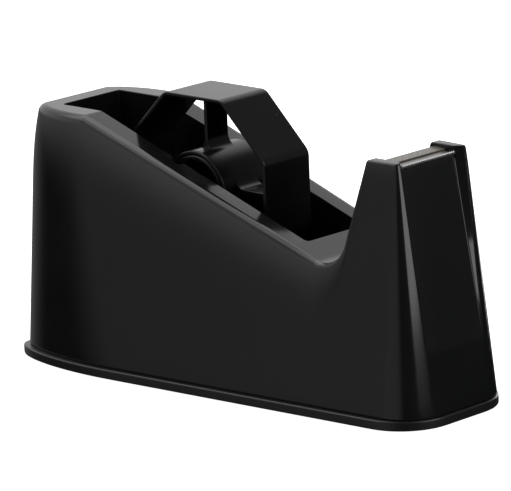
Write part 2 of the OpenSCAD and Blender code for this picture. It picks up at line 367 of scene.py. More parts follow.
# Small rounding where the flat top meets the slope
_half_kink = KINK_R * tan(SLOPE_ANGLE / 2)
KINK_X0 = SLOPE_TOP_X - _half_kink
KINK_X1 = SLOPE_TOP_X + _half_kink * cos(SLOPE_ANGLE)
# Rounded rear corner of the cheek tops
_corner_x = TOWER_FOOT.x + (CHEEK_Z - TOWER_FOOT.y) / tan(TOWER_LEAN)
_corner_reach = CHEEK_ROUND * tan((pi - TOWER_LEAN) / 2 - (pi / 2 - TOWER_LEAN))
CHEEK_X0 = _corner_x - _corner_reach * cos(TOWER_LEAN)
CHEEK_X1 = _corner_x + _corner_reach


def profile(x):
    """Height of the body's top and its slope dz/dx, at x."""
    if x <= KINK_X0:
        return TOP_Z, 0.0
    if x <= KINK_X1:
        d = x - KINK_X0
        root = sqrt(KINK_R ** 2 - d * d)
        return TOP_Z - KINK_R + root, -d / root
    if x <= SADDLE_X0:
        return TOP_Z - SLOPE * (x - SLOPE_TOP_X), -SLOPE
    if x <= SADDLE_X1:
        d = x - SADDLE_C.x
        root = sqrt(SADDLE_R ** 2 - d * d)
        return SADDLE_C.y - root, d / root
    if x <= CHEEK_X0:
        return TOWER_FOOT.y + (x - TOWER_FOOT.x) * tan(TOWER_LEAN), tan(TOWER_LEAN)
    if x <= CHEEK_X1:
        d = CHEEK_X1 - x
        root = sqrt(max(CHEEK_ROUND ** 2 - d * d, 1e-9))
        return CHEEK_Z - CHEEK_ROUND + root, d / root
    return CHEEK_Z, 0.0


def profile_normal(x):
    return Vector((-profile(x)[1], 0, 1)).normalized()


def stations(*spans):
    """Profile positions: each span is (start, end, count), its end left out."""
    return [lerp(a, b, i / n) for a, b, n in spans for i in range(n)]


def arc_stations(c, r, x0, x1, n):
    """Positions x spaced evenly by angle along an arc centred at x = c."""
    a0, a1 = asin((x0 - c) / r), asin((x1 - c) / r)
    return [c + r * sin(lerp(a0, a1, i / n)) for i in range(n)]


def edge_height(part, t):
    """Height at which a wall line meets the top."""
    low, high = FOOT_Z, TOP_Z + 1
    for _ in range(50):
        mid = (low + high) / 2
        if profile(wall(part, t, mid).x)[0] > mid:
            low = mid
        else:
            high = mid
    return low


def side_t(x):
    """Place along the side of the wall line that meets the top at x."""
    o = body_outline(profile(x)[0])
    return (x - o.side_x0) / (o.side_x1 - o.side_x0)


REAR_EDGE_R, SIDE_EDGE_R, TOWER_EDGE_R = 7.4, 3.4, 0.9


def top_radius(x):
    """Radius of the outer top edge: soft at the rear, tight on the tower."""
    rear = lerp(REAR_EDGE_R, SIDE_EDGE_R, fade(x, -92, 30))
    return min(rear, lerp(SIDE_EDGE_R, TOWER_EDGE_R, fade(x, 40, 24)))


def crown(x):
    """How far the wall leans in below the top edge, and over what height."""
    rear, front = fade(x, -95, 35), fade(x, 48, 20)
    return lerp(lerp(1.8, 1.05, rear), 0.2, front), lerp(30.0, 10.0, front)


FILLET_STEPS = 11
WALL_ROWS = 26


class Column:
    """One line up the wall, with the rounded edge that joins it to the top."""

    def __init__(self, part, t):
        self.part, self.t = part, t
        z = edge_height(part, t)
        self.edge = wall(part, t, z)
        self.x = self.edge.x
        n0, nt = wall_normal(part, t, z), profile_normal(self.edge.x)
        r = top_radius(self.edge.x)
        self.lean, self.reach = crown(self.edge.x)
        nw = (n0 + Vector((0, 0, 3 * self.lean / self.reach))).normalized()
        inward = Vector((n0.x, n0.y, 0)).normalized()
        inward -= nt * inward.dot(nt)
        centre = self.edge - r * (nw + nt) / (1 + nw.dot(nt))
        slack = (wall(part, t, (centre + r * nw).z) - centre - r * nw).dot(n0)
        centre -= inward.normalized() * max(self.lean - slack, 0)
        angle = nw.angle(nt)
        self.arc = []
        for i in range(FILLET_STEPS + 1):
            f = i / FILLET_STEPS
            n = (nw * sin((1 - f) * angle) + nt * sin(f * angle)) / sin(angle)
            self.arc.append(centre + r * n)
        self.foot, self.top = self.arc[0], self.arc[-1]

    def rows(self, n):
        """Points up the wall from the foot to the rounded edge, closer together towards the top."""
        low = FOOT_Z + FOOT_TUCK[0][0]
        n0 = wall_normal(self.part, self.t, low)
        p0 = wall(self.part, self.t, low)
        shift = self.foot - wall(self.part, self.t, self.foot.z)
        out = [p0 - n0 * inset + Vector((0, 0, -drop)) for inset, drop in FOOT_TUCK]
        for i in range(n + 1):
            z = lerp(low, self.foot.z, 1 - (1 - i / n) ** 1.6)
            f = max(1 - (self.foot.z - z) / self.reach, 0)
            out.append(wall(self.part, self.t, z) + shift * f ** 3)
        return out


def cut(obj, cutter):
    """Takes the cutter's solid away from the object's mesh."""
    mod = obj.modifiers.new("cut", "BOOLEAN")
    mod.operation = "DIFFERENCE"
    mod.solver = "MANIFOLD"
    mod.object = cutter
    bake(obj)
    bpy.data.objects.remove(cutter)


def bake(obj):
    """Turns the object's modifiers into its mesh."""
    graph = bpy.context.evaluated_depsgraph_get()
    mesh = bpy.data.meshes.new_from_object(obj.evaluated_get(graph))
    obj.modifiers.clear()
    obj.data = mesh


def side_stations():
    """Profile positions along the side wall, closer together where the top edge bends."""
    corner = [CHEEK_X1 - CHEEK_ROUND * sin(lerp(TOWER_LEAN, 0, i / 6)) for i in range(6)]
    return (
        [lerp(KINK_X0, KINK_X1, i / 4) for i in range(4)]
        + stations((KINK_X1, SADDLE_X0, 20))
        + arc_stations(SADDLE_C.x, SADDLE_R, SADDLE_X0, SADDLE_X1, 16)
        + stations((SADDLE_X1, CHEEK_X0, 10))
        + corner
        + stations((CHEEK_X1, 82.0, 4))
    )


def body_block():
    """The body's outer form as a closed solid, without the well, the shelf and the sunk panel."""
    skin = Skin()
    columns = [Column("rear", i / 5) for i in range(5)]
    columns += [Column("corner", i / 34) for i in range(35)]
    columns += [Column("side", side_t(x)) for x in side_stations()]
    columns += [Column("front", i / 14) for i in range(15)]
    columns += [Column("middle", i / 3) for i in range(1, 4)]
    rows = [c.rows(WALL_ROWS) for c in columns]
    skin.grid(rows)
    skin.grid([c.arc for c in columns])
    foot = [r[0] for r in rows]
    skin.face(foot)
    # the top: one flat face at the rear, strips down the slope and up the tower, one flat face on the cheeks
    tops = [c.top for c in columns]
    sloped = [
        i for i, c in enumerate(columns)
        if c.part == "side" and KINK_X0 - 0.01 < c.x < CHEEK_X1 + 0.01
    ]
    first, last = sloped[0], sloped[-1]
    for i in range(first, last):
        a, b = tops[i], tops[i + 1]
        skin.face([a, b, Vector((b.x, 0, b.z)), Vector((a.x, 0, a.z))])
    skin.face(tops[: first + 1] + [Vector((tops[first].x, 0, tops[first].z))])
    skin.face([Vector((tops[last].x, 0, tops[last].z))] + tops[last:])
    skin.mirror_y()
    return skin


def recess_cutter():
    """What is taken away in front of the sunk panel, with rounded edges that grow out of its foot."""
    skin = Skin()
    rows = []
    levels, low, high = 45, 20.0, 97.0
    last, run_out = 70, 3  # where the outer rounding stops in degrees, and the straight that follows it
    for i in range(levels + 1):
        z = lerp(low, high, i / levels)
        half, back = recess_half(z), recess_x(z)
        face = body_outline(z).front_x_at(half)
        depth = max(face - back, 0.05)
        outer, inner = min(0.5, depth * 0.45), min(0.4, depth * 0.3)
        row = [(back, 0)]
        for a in (0, 30, 60, 90):
            c, s = cos(radians(a)), sin(radians(a))
            row.append((back + inner - inner * c, CHEEK_INNER - inner + inner * s))
        for a in (0, 25, 50, last):
            c, s = cos(radians(a)), sin(radians(a))
            row.append((face - outer + outer * s, half + outer - outer * c))
        x, y = row[-1]
        x, y = x + run_out * cos(radians(last)), y + run_out * sin(radians(last))
        row += [(x, y), (BEYOND, y)]
        rows.append([Vector((x, y, z)) for x, y in row] + [Vector((x, -y, z)) for x, y in reversed(row[1:])])
    skin.closed_grid(rows)
    skin.face(rows[0])
    skin.face(rows[-1])
    return skin.finish("recess cutter")


def shelf_cutter():
    """The gap between the cheeks, down to the shelf that carries the tape rest and the blade."""
    rear = 60
    loop = [(rear, SHELF_Z), (BED_TAIL[0], SHELF_Z), BED_TAIL] + BED_LIP
    loop += [(BEYOND, SHELF_Z), (BEYOND, BEYOND), (rear, BEYOND)]
    skin = Skin()
    prism_y(skin, loop, -CHEEK_INNER, CHEEK_INNER, 0.0)
    return skin.finish("shelf cutter")


def well_cutter():
    """The roll well: rounded corners, a rounded foot, and a softened edge that follows the body's top."""
    c = WELL_CORNER
    quarter = [(WELL_FRONT_X - c, WELL_HALF - c, 0), (WELL_REAR_X + c, WELL_HALF - c, 90)]
    quarter += [(WELL_REAR_X + c, c - WELL_HALF, 180), (WELL_FRONT_X - c, c - WELL_HALF, 270)]
    loop = []
    for cx, cy, start in quarter:
        if start == 90:
            loop += [(x, WELL_HALF) for x in (0, KINK_X1, SLOPE_TOP_X, KINK_X0)]
        if start == 270:
            loop += [(x, -WELL_HALF) for x in (KINK_X0, SLOPE_TOP_X, KINK_X1, 0)]
        loop += arc(cx, cy, c, start, start + 90, 6)
    skin = Skin()
    rows = []
    for inset, up in ((0.8, 0.0), (0.4, 0.1), (0.1, 0.4), (0.0, 0.8)):
        rows.append([Vector((x, y, WELL_FLOOR + up)) for x, y in offset_loop(loop, -inset)])
    last, run_out = 60, 2  # where the edge's rounding stops in degrees, and the straight that follows it
    for a in (0, 20, 40, last):
        out, up = WELL_EDGE * (1 - cos(radians(a))), WELL_EDGE * (sin(radians(a)) - 1)
        rows.append([Vector((x, y, profile(x)[0] + up)) for x, y in offset_loop(loop, out)])
    out, up = out + run_out * sin(radians(last)), up + run_out * cos(radians(last))
    rows.append([Vector((x, y, profile(x)[0] + up)) for x, y in offset_loop(loop, out)])
    rows.append([Vector((v.x, v.y, BEYOND)) for v in rows[-1]])
    skin.closed_grid(rows)
    skin.face(rows[0])
    skin.face(rows[-1])
    return skin.finish("well cutter")


def slot_cutter():
    """Leaning slot with a round seat, blind at both ends."""
    u = Vector((-sin(SLOT_LEAN), cos(SLOT_LEAN)))
    w = Vector((cos(SLOT_LEAN), sin(SLOT_LEAN)))
    c = Vector((HUB_X, HUB_Z))
    loop = [c - w * SLOT_R + u * SLOT_LENGTH]
    loop += [c - w * SLOT_R * cos(radians(a)) - u * SLOT_R * sin(radians(a)) for a in range(0, 181, 12)]
    loop += [c + w * SLOT_R + u * SLOT_LENGTH]
    skin = Skin()
    prism_y(skin, [tuple(p) for p in loop], -SLOT_END, SLOT_END, 0.3)
    return skin.finish("slot cutter")


def shade(obj):
    """Smooth shading with sharp edges kept, for a mesh that came out of cuts."""
    bm = bmesh.new()
    bm.from_mesh(obj.data)
    mark_sharp(bm, SHARP)
    bm.to_mesh(obj.data)
    bm.free()
    obj.modifiers.clear()
    weigh_normals(obj)


def round_edges(obj, size, chosen):
    """Rounds the convex sharp edges for which chosen(edge) is true, by size in millimetres."""
    bm = bmesh.new()
    bm.from_mesh(obj.data)
    edges = [
        e for e in bm.edges
        if e.is_manifold and e.calc_face_angle_signed(0.0) > radians(40) and chosen(e)
    ]
    bmesh.ops.bevel(
        bm, geom=edges, offset=size * MM, offset_type="OFFSET", segments=3, profile=0.5, affect="EDGES",
        clamp_overlap=False,
    )
    bm.to_mesh(obj.data)
    bm.free()


def along_cheek(edge):
    """Whether an edge runs along the inner face of a cheek, above the shelf."""
    ends = [v.co / MM for v in edge.verts]
    return all(abs(abs(p.y) - CHEEK_INNER) < 0.02 and p.z > SHELF_Z + 0.1 for p in ends)


def build_body():
    """The outer block, with everything cut into it in turn."""
    obj = body_block().finish("body_moulding")
    obj.modifiers.clear()
    cut(obj, recess_cutter())
    cut(obj, shelf_cutter())
    round_edges(obj, 0.4, along_cheek)
    cut(obj, well_cutter())
    cut(obj, slot_cutter())
    shade(obj)
    return obj


# ---------------------------------------------------------------------------------------- the other pieces


def foot_outline():
    return Outline(rear_x=-99, front_x=99, side_half=37.97, a=46, b=13.5, r=19.5, slope=0.05887)


def loop_of(outline, inset, z):
    """Closed plan loop of an outline, drawn in by inset."""
    half = []
    for part, n in (("rear", 4), ("corner", 30), ("side", 20), ("front", 12)):
        half += [outline.at(part, i / n) for i in range(n)]
    half += [outline.at("front", 1.0), outline.at("middle", 1.0)]
    loop = [tuple(p) for p in half] + [(p.x, -p.y) for p in reversed(half[1:-1])]
    loop = offset_loop(loop[::-1], -inset)[::-1]
    return [Vector((x, y, z)) for x, y in loop]


def stack(name, rings):
    """Closed solid through a pile of plan loops."""
    skin = Skin()
    skin.closed_grid(rings)
    skin.face(rings[0])
    skin.face(rings[-1])
    return skin.finish(name)


def join(obj, other):
    """Adds the other solid to the object's mesh."""
    mod = obj.modifiers.new("join", "BOOLEAN")
    mod.operation = "UNION"
    mod.solver = "MANIFOLD"
    mod.object = other
    bake(obj)
    bpy.data.objects.remove(other)


def turned(name, profile_loop, cx, cz, along="Y", n=48):
    """Solid or ring turned from a closed (radius, height) loop, about an axis along Y or Z."""
    skin = Skin()
    rows = []
    solid = profile_loop[0][0] == 0
    for i in range(n + 1):
        a = 2 * pi * (i % n) / n
        row = []
        for r, h in profile_loop if solid else profile_loop + profile_loop[:1]:
            if along == "Y":
                row.append(Vector((cx + r * cos(a), h, cz + r * sin(a))))
            else:
                row.append(Vector((cx + r * cos(a), cz + r * sin(a), h)))
        rows.append(row)
    skin.grid(rows)
    return skin.finish(name)


def build_base_plate():
    """Flange with rounded edges, a rim that locates it in the body, a pad pocket and four screw holes."""
    foot = foot_outline()
    r = FLANGE_EDGE
    rings = []
    for a in (0, 22.5, 45, 67.5, 90):
        rings.append(loop_of(foot, r * (1 - sin(radians(a))), FOOT_LOW + r * (1 - cos(radians(a)))))
    for a in (90, 67.5, 45, 22.5, 0):
        rings.append(loop_of(foot, r * (1 - sin(radians(a))), FOOT_Z - r * (1 - cos(radians(a)))))
    obj = stack("base_flange", rings)
    obj.modifiers.clear()
    # locating rim inside the body, its foot sunk into the plate
    inside = body_outline(FOOT_Z)
    rim_out, rim_in, rim_low, rim_high = 3.2, 4.8, FOOT_Z - 0.4, FOOT_Z + PLATE_RIM
    skin = Skin()
    outer = [loop_of(inside, rim_out, z) for z in (rim_low, rim_high)]
    inner = [loop_of(inside, rim_in, z) for z in (rim_high, rim_low)]
    skin.closed_grid(outer + inner + outer[:1])
    rim = skin.finish("rim")
    above, below, pocket_in = 12, -1, 3.0
    room_r, head_r, shank_r, head_z = 4.4, 3.5, 1.7, 3.0
    for x, y in SCREW_SITES:
        room = [(0, FOOT_Z + 0.02), (room_r, FOOT_Z + 0.02), (room_r, above), (0, above)]
        cut(rim, turned("room", room, x, y, "Z"))
    join(obj, rim)
    cut(obj, stack("pocket", [loop_of(foot, pocket_in, z) for z in (below, PLATE_POCKET)]))
    for x, y in SCREW_SITES:
        hole = [(0, below), (head_r, below), (head_r, head_z)]
        hole += [(shank_r, head_z), (shank_r, above), (0, above)]
        cut(obj, turned("hole", hole, x, y, "Z"))
    shade(obj)
    return obj


def rounded(loop, radius, n=3):
    """A closed 2-D loop with its corners rounded; radius is one number or one per corner."""
    out = []
    count = len(loop)
    for i, p in enumerate(loop):
        r = radius[i] if isinstance(radius, (list, tuple)) else radius
        p, a, b = Vector(p), Vector(loop[i - 1]), Vector(loop[(i + 1) % count])
        da, db = (a - p).normalized(), (b - p).normalized()
        angle = da.angle(db)
        if r <= 0 or angle > radians(178):
            out.append(tuple(p))
            continue
        reach = r / tan(angle / 2)
        c = p + (da + db).normalized() * (r / sin(angle / 2))
        start, end = p + da * reach - c, p + db * reach - c
        sweep = start.angle(end)
        for k in range(n + 1):
            f = k / n
            v = (start * sin((1 - f) * sweep) + end * sin(f * sweep)) / sin(sweep)
            out.append(tuple(c + v))
    return out


def build_axle():
    end, bevel = SLOT_END - 0.3, 0.5
    half = [(AXLE_R, end - bevel), (AXLE_R - bevel, end), (0, end)]
    loop = [(r, -y) for r, y in reversed(half)] + half
    return turned("axle_rod", rounded(loop, [0, 0.2, 0.2, 0.2, 0.2, 0], 2), HUB_X, HUB_Z)


def build_small_hub():
    """Tube with a disc across its middle and a long boss for the axle."""
    inner, boss, boss_end, h = CORE_R - 1.7, 4.4, WELL_HALF - 0.5, HUB_W / 2
    bore = AXLE_R + 0.06
    half = [(bore, boss_end), (boss, boss_end), (boss, 1), (inner, 1), (inner, h), (CORE_R, h)]
    radii = [0.2, 0.4, 0.7, 0.7, 0.45, 0.45]
    loop = [(r, y) for r, y in half] + [(r, -y) for r, y in reversed(half)]
    return turned("hub_small_core", rounded(loop, radii + radii[::-1]), HUB_X, HUB_Z, n=96)


def octagon(flats, bend, n=8):
    """Points of an octagon with bent corners, about the hub's axis."""
    centre = (flats / 2 - bend) / cos(radians(22.5))
    out = []
    for k in range(8):
        m = radians(22.5 + 45 * k)
        for i in range(n + 1):
            a = m + radians(45 * i / n - 22.5)
            out.append((centre * cos(m) + bend * cos(a), centre * sin(m) + bend * sin(a)))
    return out


def ring_between(name, outer, inner, half, edge):
    """Ring between two loops with the same count, about the hub's axis, with rounded edges."""
    thick = (Vector(outer[0]) - Vector(inner[0])).length
    flat = rounded([(0, -half), (thick, -half), (thick, half), (0, half)], edge)
    rows = []
    for o, i in zip(outer + outer[:1], inner + inner[:1]):
        row = []
        for s, y in flat + flat[:1]:
            f = s / thick
            row.append(Vector((HUB_X + lerp(i[0], o[0], f), y, HUB_Z + lerp(i[1], o[1], f))))
        rows.append(row)
    skin = Skin()
    skin.grid(rows)
    return skin.finish(name)


def web_outline():
    """One web that runs out along +X, flared where it leaves the sleeve."""
    h, flare, tip_flare, buried = WEB_HALF_T, 4.5, 2.2, 13.3
    root = sqrt((SLEEVE_OUT + flare) ** 2 - (h + flare) ** 2)
    foot = atan2(h + flare, root)
    end = FLATS / 2 - BAND_T / 2
    upper = arc(root, h + flare, flare, 180 + foot * 180 / pi, 270, 8)
    upper += [(end - tip_flare, h)] + arc(end - tip_flare, h + tip_flare, tip_flare, 270, 345, 5)[1:]
    inside = [(buried * cos(foot * (1 - i / 3)), buried * sin(foot * (1 - i / 3))) for i in range(4)]
    lower = [(x, -y) for x, y in reversed(upper)]
    inner = [(x, -y) for x, y in inside] + inside[-2::-1]
    return lower + inner + upper


def build_adapter():
    """Eight-sided band on four webs that run out from a sleeve."""
    circle = [(cos(2 * pi * i / 96), sin(2 * pi * i / 96)) for i in range(96)]
    outer, inner = octagon(FLATS, BAND_BEND), octagon(FLATS - 2 * BAND_T, BAND_BEND - BAND_T)
    band = ring_between("hub_large_core", outer, inner, HUB_W / 2, 0.35)
    band.modifiers.clear()
    outer, inner = [[(x * r, y * r) for x, y in circle] for r in (SLEEVE_OUT, SLEEVE_IN)]
    sleeve = ring_between("sleeve", outer, inner, HUB_W / 2, 0.45)
    outline = web_outline()[::-1]
    for k in range(4):
        c, s = cos(k * pi / 2), sin(k * pi / 2)
        skin = Skin()
        prism_y(skin, [(HUB_X + x * c - y * s, HUB_Z + x * s + y * c) for x, y in outline],
                -WEB_HALF_W, WEB_HALF_W, 0.25)
        join(band, skin.finish("web"))
    join(band, sleeve)
    shade(band)
    return band


def blade_point(u, v):
    """Blade coordinates, u forward from its front edge and v up, in the XZ plane."""
    c, s = cos(BLADE_TILT), sin(BLADE_TILT)
    return Vector((BLADE_FRONT.x + u * c + v * s, BLADE_FRONT.y - u * s + v * c))


def build_blade():
    """Bent strip, drawn along Y by the places and heights of its edge: flat ends with the teeth between."""
    teeth = int(2 * BLADE_HALF / TOOTH_PITCH)
    start = -teeth * TOOTH_PITCH / 2
    tip, edge = TOOTH_TIP - 0.04, TOOTH_ROOT - 0.1
    spots = [(-BLADE_HALF, edge), (start - 0.02, edge)]
    for i in range(teeth):
        spots += [(start + i * TOOTH_PITCH, TOOTH_ROOT), (start + (i + 0.46) * TOOTH_PITCH, tip)]
        spots += [(start + (i + 0.54) * TOOTH_PITCH, tip)]
    spots += [(-start, TOOTH_ROOT), (-start + 0.02, edge), (BLADE_HALF, edge)]
    rows = []
    for y, h in spots:
        thin = lerp(0.42, 0.1, (h - TOOTH_ROOT + 0.1) / (TOOTH_TIP - TOOTH_ROOT + 0.1))
        section = [(-BLADE_LENGTH, BLADE_T), (-BLADE_LENGTH, 0)] + arc(-0.7, 0.7, 0.7, 270, 360, 5)
        section += [(0, TOOTH_ROOT - 0.2), (0, h), (-thin, h), (-0.5, TOOTH_ROOT - 0.2)]
        section += arc(-0.95, 1.05, 0.45, 360, 270, 4)
        row = [blade_point(u, v) for u, v in section]
        rows.append([Vector((p.x, y, p.y)) for p in row])
    skin = Skin()
    skin.closed_grid(rows)
    skin.face(rows[0])
    skin.face(rows[-1])
    return skin.finish("tear_blade", sharp=28)


def build_tape_rest():
    """Strip on the shelf with a rounded rear edge, its front lapped over the blade, and two pegs below."""
    back = TOWER_FOOT.x + (SHELF_Z - TOWER_FOOT.y) / tan(TOWER_LEAN) + 0.05
    low, tail, lap = SHELF_Z + 0.02, 77.28, BLADE_T + 0.12
    under = blade_point(-BLADE_LENGTH, lap)
    under_front = blade_point(-BLADE_LENGTH + (REST_FRONT[0] - under.x) / cos(BLADE_TILT), lap)
    rise, run = 2.8, 2.85
    centre = REST_TOP - rise
    quarter = arc(back + 3.4, centre, run, 90, 170, 8)
    curve = [(x, centre + (z - REST_TOP + rise) * rise / run) for x, z in quarter]
    loop = [(back, low), (tail, low), (tail, under.y + 0.02), tuple(under_front), REST_FRONT] + curve
    skin = Skin()
    prism_y(skin, loop, -REST_HALF, REST_HALF, 0.12)
    obj = skin.finish("rest_strip")
    obj.modifiers.clear()
    bevel, peg_top = 0.2, SHELF_Z + 0.5
    peg = [(0, PEG_FOOT), (PEG_R - bevel, PEG_FOOT), (PEG_R, PEG_FOOT + bevel)]
    peg += [(PEG_R, peg_top), (0, peg_top)]
    for y in (-PEG_Y, PEG_Y):
        join(obj, turned("peg", peg, PEG_X, y, "Z", 32))
    shade(obj)
    return obj


# ------------------------------------------------------------------------------------------------- materials


class Nodes:
    """A material with a Principled shader, and short calls that add and join its nodes."""

    def __init__(self, name):
        self.material = bpy.data.materials.new(name)
        self.material.use_nodes = True
        self.tree = self.material.node_tree
        self.shader = self.tree.nodes["Principled BSDF"]
        self.at = self.add("ShaderNodeTexCoord").outputs["Object"]

    def add(self, kind, **settings):
        node = self.tree.nodes.new(kind)
        for key, value in settings.items():
            setattr(node, key, value)
        return node

    def put(self, socket, value):
        if isinstance(value, bpy.types.NodeSocket):
            self.tree.links.new(value, socket)
        else:
            socket.default_value = value

    def stretched(self, x, y, z):
        node = self.add("ShaderNodeVectorMath", operation="MULTIPLY")
        self.put(node.inputs[0], self.at)
        node.inputs[1].default_value = (x, y, z)
        return node.outputs[0]

    def noise(self, per_metre, detail=3.0, rough=0.5, vector=None):
        node = self.add("ShaderNodeTexNoise")
        self.put(node.inputs["Vector"], vector or self.at)
        node.inputs["Scale"].default_value = per_metre
        node.inputs["Detail"].default_value = detail
        node.inputs["Roughness"].default_value = rough
        return node.outputs["Fac"]

    def spread(self, value, low, high, to_low, to_high):
        node = self.add("ShaderNodeMapRange")
        self.put(node.inputs["Value"], value)
        for name, number in (("From Min", low), ("From Max", high), ("To Min", to_low), ("To Max", to_high)):
            node.inputs[name].default_value = number
        return node.outputs[0]

    def maths(self, operation, a, b):
        node = self.add("ShaderNodeMath", operation=operation)
        self.put(node.inputs[0], a)
        self.put(node.inputs[1], b)
        return node.outputs[0]

    def mix(self, factor, a, b):
        node = self.add("ShaderNodeMix", data_type="RGBA")
        self.put(node.inputs[0], factor)
        self.put(node.inputs[6], a)
        self.put(node.inputs[7], b)
        return node.outputs[2]

    def specks(self, per_metre, size, share):
        """Mask of scattered small dots; share is the part of the cells that hold one."""
        node = self.add("ShaderNodeTexVoronoi")
        self.put(node.inputs["Vector"], self.at)
        node.inputs["Scale"].default_value = per_metre
        dot = self.maths("LESS_THAN", node.outputs["Distance"], size)
        pick = self.add("ShaderNodeSeparateColor")
        self.put(pick.inputs[0], node.outputs["Color"])
        return self.maths("MULTIPLY", dot, self.maths("LESS_THAN", pick.outputs[0], share))

    def upward(self):
        """1 on faces that look up, 0 on walls: where dust settles."""
        split = self.add("ShaderNodeSeparateXYZ")
        self.put(split.inputs[0], self.add("ShaderNodeNewGeometry").outputs["Normal"])
        return self.spread(split.outputs[2], 0.3, 0.9, 0.15, 1.0)

    def wear(self, low, high):
        """1 on sharp outer edges."""
        return self.spread(self.add("ShaderNodeNewGeometry").outputs["Pointiness"], low, high, 0.0, 1.0)

    def bump(self, height, strength, depth):
        node = self.add("ShaderNodeBump")
        self.put(node.inputs["Height"], height)
        node.inputs["Strength"].default_value = strength
        node.inputs["Distance"].default_value = depth
        self.put(self.shader.inputs["Normal"], node.outputs[0])

    def set(self, **values):
        for name, value in values.items():
            self.put(self.shader.inputs[name.replace("_", " ")], value)


def grey(level, warm=0.0):
    return (level * (1 + warm), level, level * (1 - warm), 1.0)


def moulded_plastic(name, shade_low, shade_high, rough_low, rough_high, grain, grain_depth, dust):
    """Black moulded plastic: slight mottling, uneven gloss, fine grain, dust specks, paler worn edges."""
    n = Nodes(name)
    cloud = n.noise(28, 2)
    fine = n.noise(grain, 4, 0.6)
    colour = n.mix(cloud, grey(shade_low, -0.04), grey(shade_high, -0.04))
    colour = n.mix(n.maths("MULTIPLY", n.wear(0.53, 0.66), 0.25), colour, grey(shade_high * 3))
    motes = n.maths("MULTIPLY", n.specks(260, 0.045, dust), n.upward())
    colour = n.mix(motes, colour, grey(0.32, 0.03))
    gloss = n.spread(n.maths("ADD", cloud, n.maths("MULTIPLY", fine, 0.5)), 0.4, 1.1, rough_low, rough_high)
    rough = n.maths("ADD", gloss, n.maths("MULTIPLY", motes, 0.4))
    n.set(Base_Color=colour, Roughness=rough, IOR=1.5)
    n.bump(fine, 0.35, grain_depth)
    return n.material


def brushed_metal(name, level, rough_low, rough_high, along, warm=0.01, fine=900):
    """Ground metal: fine lines along one direction, with small stains."""
    n = Nodes(name)
    lines = n.noise(fine, 3, 0.6, n.stretched(*along))
    stain = n.noise(120, 4)
    colour = n.mix(stain, grey(level, warm), grey(level * 0.86, warm))
    n.set(Base_Color=colour, Metallic=1.0, Roughness=n.spread(lines, 0.3, 0.7, rough_low, rough_high))
    n.bump(lines, 0.3, 0.00002)
    return n.material


def blade_steel():
    """Dull spring steel; the band along the teeth at the front edge is painted near-white, a painted
    highlight for the glint on the toothed edge.
    """
    n = Nodes("blade_steel")
    lines = n.noise(900, 3, 0.6, n.stretched(12, 1, 12))
    split = n.add("ShaderNodeSeparateXYZ")
    n.put(split.inputs[0], n.at)
    # painted highlight: the strip along the teeth gets a near-white colour that stands in for their glint
    teeth_glint = n.maths("GREATER_THAN", split.outputs[0], (BLADE_FRONT.x - 0.65) * MM)
    colour = n.mix(n.noise(160, 4), grey(0.2, 0.04), grey(0.28, 0.04))
    colour = n.mix(teeth_glint, colour, grey(0.8, 0.01))
    n.set(Base_Color=colour, Metallic=1.0, Roughness=n.spread(lines, 0.3, 0.7, 0.26, 0.42))
    n.bump(lines, 0.3, 0.00002)
    return n.material


def warm_strip():
    """Tape rest: smooth warm grey, faintly scuffed along its length by the tape."""
    n = Nodes("rest_strip")
    scuff = n.noise(700, 4, 0.6, n.stretched(8, 1, 8))
    colour = n.mix(n.noise(90, 3), (0.11, 0.095, 0.08, 1), (0.16, 0.142, 0.12, 1))
    colour = n.mix(n.spread(scuff, 0.55, 0.75, 0.0, 0.5), colour, (0.2, 0.18, 0.15, 1))
    n.set(Base_Color=colour, Roughness=n.spread(scuff, 0.3, 0.7, 0.2, 0.34), IOR=1.5)
    n.bump(scuff, 0.3, 0.000005)
    return n.material


def rubber():
    """Dark foam rubber with a fine open surface."""
    n = Nodes("pad_rubber")
    fine = n.noise(1600, 5, 0.7)
    colour = n.mix(n.noise(60), grey(0.022), grey(0.04))
    colour = n.mix(n.specks(300, 0.05, 0.1), colour, grey(0.12, 0.03))
    n.set(Base_Color=colour, Roughness=n.spread(fine, 0.3, 0.7, 0.72, 0.92))
    n.bump(fine, 0.5, 0.00006)
    return n.material


def cast_ballast():
    """Rough cast mineral with darker grains."""
    n = Nodes("ballast_cast")
    grit = n.noise(420, 6, 0.7)
    colour = n.mix(grit, grey(0.2, 0.04), grey(0.42, 0.05))
    colour = n.mix(n.specks(180, 0.16, 0.5), colour, grey(0.12, 0.02))
    n.set(Base_Color=colour, Roughness=n.spread(grit, 0.3, 0.7, 0.8, 0.98))
    n.bump(grit, 0.8, 0.0004)
    return n.material


BODY_GLOSS = moulded_plastic("body_gloss", 0.0075, 0.0105, 0.12, 0.18, 1100, 0.0000015, dust=0.06)
FOOT_SATIN = moulded_plastic("foot_satin", 0.011, 0.014, 0.26, 0.36, 1500, 0.000005, dust=0.05)
CORE_SATIN = moulded_plastic("core_satin", 0.006, 0.008, 0.2, 0.28, 1500, 0.000003, dust=0.03)
BAND_SATIN = moulded_plastic("adapter_satin", 0.0055, 0.0075, 0.18, 0.26, 1500, 0.000003, dust=0.03)
AXLE_STEEL = brushed_metal("axle_steel", 0.66, 0.2, 0.32, (1, 14, 1))
SCREW_STEEL = brushed_metal("screw_zinc", 0.6, 0.28, 0.42, (3, 3, 3), 0.03, 500)

place(build_body(), BODY_GLOSS, "body", "body_shell", "body_shell")
place(build_base_plate(), FOOT_SATIN, "body", "base_plate", "base_plate")
place(build_blade(), blade_steel(), "body", "cutting_blade", "cutting_blade")
place(build_tape_rest(), warm_strip(), "body", "tape_rest", "tape_rest")
place(build_axle(), AXLE_STEEL, "axle", "axle", "axle")
place(build_small_hub(), CORE_SATIN, "hub", "small_core_hub", "small_core_hub")
place(build_adapter(), BAND_SATIN, "hub", "large_core_adapter", "large_core_adapter")

